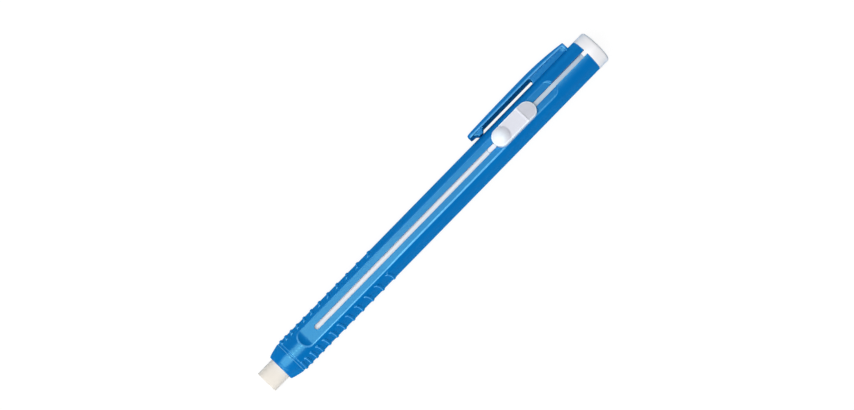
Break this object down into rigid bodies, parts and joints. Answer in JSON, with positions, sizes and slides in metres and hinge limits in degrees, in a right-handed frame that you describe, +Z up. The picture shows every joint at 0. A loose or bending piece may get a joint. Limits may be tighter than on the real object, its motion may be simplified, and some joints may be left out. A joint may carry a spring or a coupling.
{
  "type": "pencil eraser stick",
  "caption": "Slide-out eraser stick: ribbed round barrel with a thumb slider in a long slot, a pocket clip and an end cap.",
  "frame": {"origin": "middle of the eraser's working face, on the barrel's axis", "axes": "+X along the barrel towards the end cap; +Z up, with the stick lying on its barrel and on the lower edge of its clip, slot and thumb button on top"},
  "size_m": [0.1317, 0.0141, 0.0134],
  "materials": {
    "barrel_plastic": "glossy blue moulded plastic",
    "cap_plastic": "satin white moulded plastic",
    "button_plastic": "satin white moulded plastic with a fine texture on the thumb panel",
    "carriage_plastic": "pale grey-blue moulded plastic",
    "eraser_vinyl": "matte white soft vinyl"
  },
  "bodies": {
    "barrel_body": {"barrel": "barrel_plastic", "end_cap": "cap_plastic"},
    "clip": {"clip_arm": "barrel_plastic"},
    "slider": {"thumb_button": "button_plastic", "eraser_carriage": "carriage_plastic"},
    "eraser": {"eraser_stick": "eraser_vinyl"}
  },
  "joints": [
    {"name": "thumb_slide", "type": "slide", "parent": "barrel_body", "child": "slider", "axis": [-1, 0, 0], "range_m": [-0.001, 0.0688]},
    {"name": "refill_pull", "type": "slide", "parent": "slider", "child": "eraser", "axis": [-1, 0, 0], "range_m": [0, 0.0205]},
    {"name": "clip_flex", "type": "hinge", "parent": "barrel_body", "child": "clip", "pos_m": [0.1121, 0.00707, -0.00258], "axis": [0, -0.3423, -0.9396], "range_deg": [0, 5], "stiffness_Nm_per_rad": 0.28}
  ]
}
